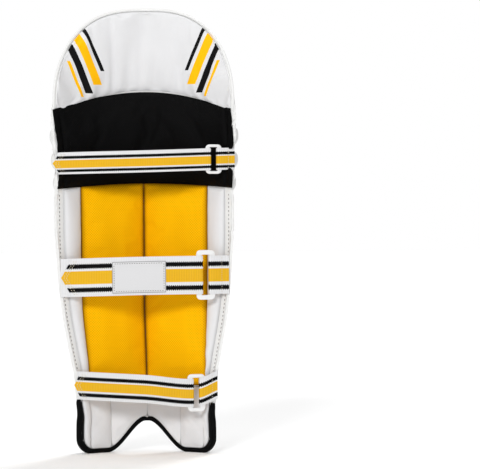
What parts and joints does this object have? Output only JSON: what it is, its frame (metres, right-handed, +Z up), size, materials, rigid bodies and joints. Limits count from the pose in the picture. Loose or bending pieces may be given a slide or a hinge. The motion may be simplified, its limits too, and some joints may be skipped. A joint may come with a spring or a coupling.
{
  "type": "batting pad",
  "caption": "Cricket batting pad: a curved shell with padded ribs, knee rolls and a domed top in front, and cushions, a knee cradle and buckled straps behind, standing on its feet.",
  "frame": {"origin": "on the floor below the middle of the pad's box", "axes": "+Z up along the shin, -Y the way the strike face looks, +Y the leg side with the straps, +X towards the sewn ends of the straps"},
  "size_m": [0.283, 0.1486, 0.69],
  "materials": {
    "white_leather": "soft grained, low sheen",
    "white_cloth": "smooth woven lining",
    "black_cloth": "fine diagonal mesh",
    "yellow_cloth": "fine diagonal mesh",
    "black_binding": "satin tape",
    "striped_webbing": "woven stripes of white, black and yellow",
    "white_plastic": "gloss moulded"
  },
  "bodies": {
    "root": {"shell": "white_leather", "edge_binding": "black_binding", "top_piping": "white_leather", "top_face": "white_leather", "knee_roll_upper": "white_leather", "knee_roll_middle": "white_leather", "knee_roll_lower": "white_leather", "rib_1": "white_leather", "rib_2": "white_leather", "rib_3": "white_leather", "rib_4": "white_leather", "rib_5": "white_leather", "side_panel_left": "white_leather", "side_panel_right": "white_leather", "instep_panel": "white_leather", "top_lining": "white_cloth", "knee_cradle": "black_cloth", "shin_bolster_left": "yellow_cloth", "shin_bolster_right": "yellow_cloth", "wing_lining_left": "white_cloth", "wing_lining_right": "white_cloth", "instep_lining": "white_cloth", "knee_strap": "striped_webbing", "knee_tab": "striped_webbing", "knee_buckle": "white_plastic", "calf_strap": "striped_webbing", "calf_tab": "striped_webbing", "calf_buckle": "white_plastic", "ankle_strap": "striped_webbing", "ankle_tab": "striped_webbing", "ankle_buckle": "white_plastic", "strap_label": "white_cloth"}
  },
  "joints": []
}
